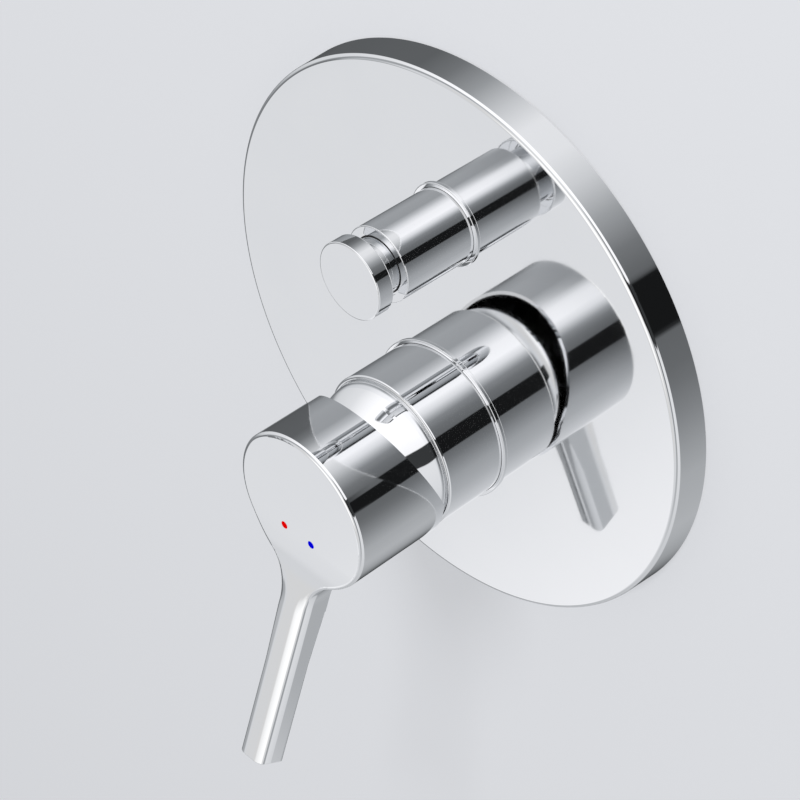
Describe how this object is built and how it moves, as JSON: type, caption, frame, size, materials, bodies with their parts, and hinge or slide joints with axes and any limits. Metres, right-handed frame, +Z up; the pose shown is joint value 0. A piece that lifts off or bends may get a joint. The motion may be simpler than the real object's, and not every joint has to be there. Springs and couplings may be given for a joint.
{
  "type": "concealed bath mixer",
  "caption": "Concealed single-lever bath mixer: round wall plate, drop-shaped lever handle, push diverter and brass body with threaded pipe ports.",
  "frame": {"origin": "middle of the body's four fixing holes, on the back face of its fixing ears, 50 mm behind the finished wall and on the axis of the round plate", "axes": "+Z up, -Y out of the wall along the sleeves, +Y into the wall, +X to the right as seen from the room"},
  "size_m": [0.17, 0.1378, 0.2021],
  "materials": {
    "trim_chrome": "polished",
    "cast_brass": "sandblasted casting",
    "turned_brass": "machined",
    "black_rubber": "moulded",
    "grey_foam": "closed-cell foam",
    "white_acetal": "moulded",
    "grey_nylon": "moulded",
    "white_ceramic": "lapped",
    "bright_steel": "machined",
    "red_enamel": "gloss",
    "blue_enamel": "gloss"
  },
  "bodies": {
    "valve": {"valve_body": "cast_brass", "escutcheon": "trim_chrome", "wall_seal": "grey_foam", "cartridge_sleeve": "trim_chrome", "sleeve_collar_ring": "black_rubber", "sleeve_neck_ring": "black_rubber", "dome_cap": "trim_chrome", "cartridge_nut": "turned_brass", "cartridge_housing": "white_acetal", "cartridge_base": "white_acetal", "port_seals": "black_rubber", "fixed_disc": "white_ceramic", "diverter_sleeve": "trim_chrome", "diverter_collar_ring": "black_rubber", "diverter_bonnet": "turned_brass", "bonnet_washer": "black_rubber", "diverter_wiper": "black_rubber", "spindle_ring": "black_rubber"},
    "mixing_carrier": {"cartridge_carrier": "grey_nylon", "pivot_pin": "bright_steel"},
    "lever": {"handle": "trim_chrome", "cartridge_stem": "turned_brass", "grub_screw": "bright_steel", "hot_marker": "red_enamel", "cold_marker": "blue_enamel"},
    "mixing_disc": {"disc_carrier": "grey_nylon", "moving_disc": "white_ceramic"},
    "diverter": {"diverter_knob": "trim_chrome", "diverter_spindle": "bright_steel", "diverter_piston": "turned_brass", "piston_seals": "black_rubber"}
  },
  "joints": [
    {"name": "temperature_turn", "type": "hinge", "parent": "valve", "child": "mixing_carrier", "pos_m": [0, -0.078, -0.028], "axis": [0, -1, 0], "range_deg": [-45, 45]},
    {"name": "lever_lift", "type": "hinge", "parent": "mixing_carrier", "child": "lever", "pos_m": [0, -0.078, -0.028], "axis": [-1, 0, 0], "range_deg": [0, 23]},
    {"name": "disc_slide", "type": "slide", "parent": "mixing_carrier", "child": "mixing_disc", "axis": [0, 0, -1], "range_m": [0, 0.0069]},
    {"name": "diverter_push", "type": "slide", "parent": "valve", "child": "diverter", "axis": [0, 1, 0], "range_m": [0, 0.0045]}
  ],
  "couplings": [
    {"joint": "disc_slide", "follows": "lever_lift", "m_per_rad": 0.01688}
  ]
}
